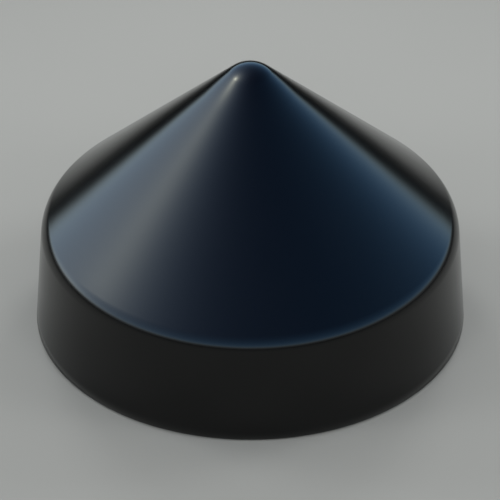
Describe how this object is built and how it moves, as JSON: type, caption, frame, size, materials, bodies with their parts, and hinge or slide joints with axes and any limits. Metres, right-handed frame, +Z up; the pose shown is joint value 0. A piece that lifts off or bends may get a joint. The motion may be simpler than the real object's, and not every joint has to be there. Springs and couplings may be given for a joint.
{
  "type": "pile cap",
  "caption": "Cone-topped round cap with a drafted skirt that sleeves over the head of a dock pile.",
  "frame": {"origin": "centre of the mouth, in the plane that the lip rests on", "axes": "+Z up along the cap's axis, from the mouth to the tip; X and Y level, all directions alike"},
  "size_m": [0.2698, 0.2698, 0.1948],
  "materials": {
    "cap_plastic": "glossy black moulded plastic with a fine grain"
  },
  "bodies": {
    "root": {"cap_shell": "cap_plastic"}
  },
  "joints": []
}
